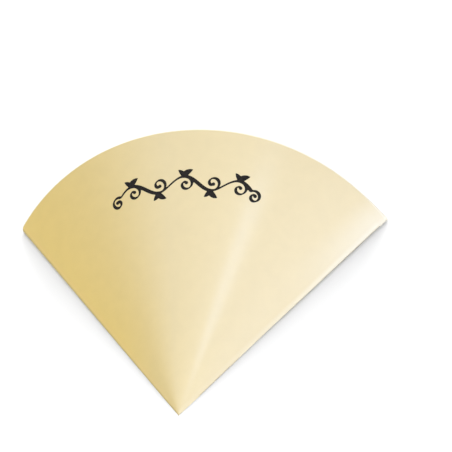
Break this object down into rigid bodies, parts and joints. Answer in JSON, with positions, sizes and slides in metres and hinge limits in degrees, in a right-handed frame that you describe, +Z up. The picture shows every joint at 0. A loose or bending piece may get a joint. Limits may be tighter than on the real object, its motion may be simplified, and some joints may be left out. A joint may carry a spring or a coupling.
{
  "type": "crepe holder",
  "caption": "Flat-backed paperboard pocket that tapers to a point, with a bowed front, a folded side, a glued side and a curved open mouth, for holding a folded crepe.",
  "frame": {"origin": "on the plane of the back panel's outer face, under the middle of the bounding box", "axes": "+Z up, out of the back panel; +Y from the tip to the mouth; +X across"},
  "size_m": [0.243, 0.18, 0.0506],
  "materials": {
    "cream_board": "satin-coated cream face outside, uncoated inside"
  },
  "bodies": {
    "root": {"folded_board_pocket": "cream_board"}
  },
  "joints": []
}
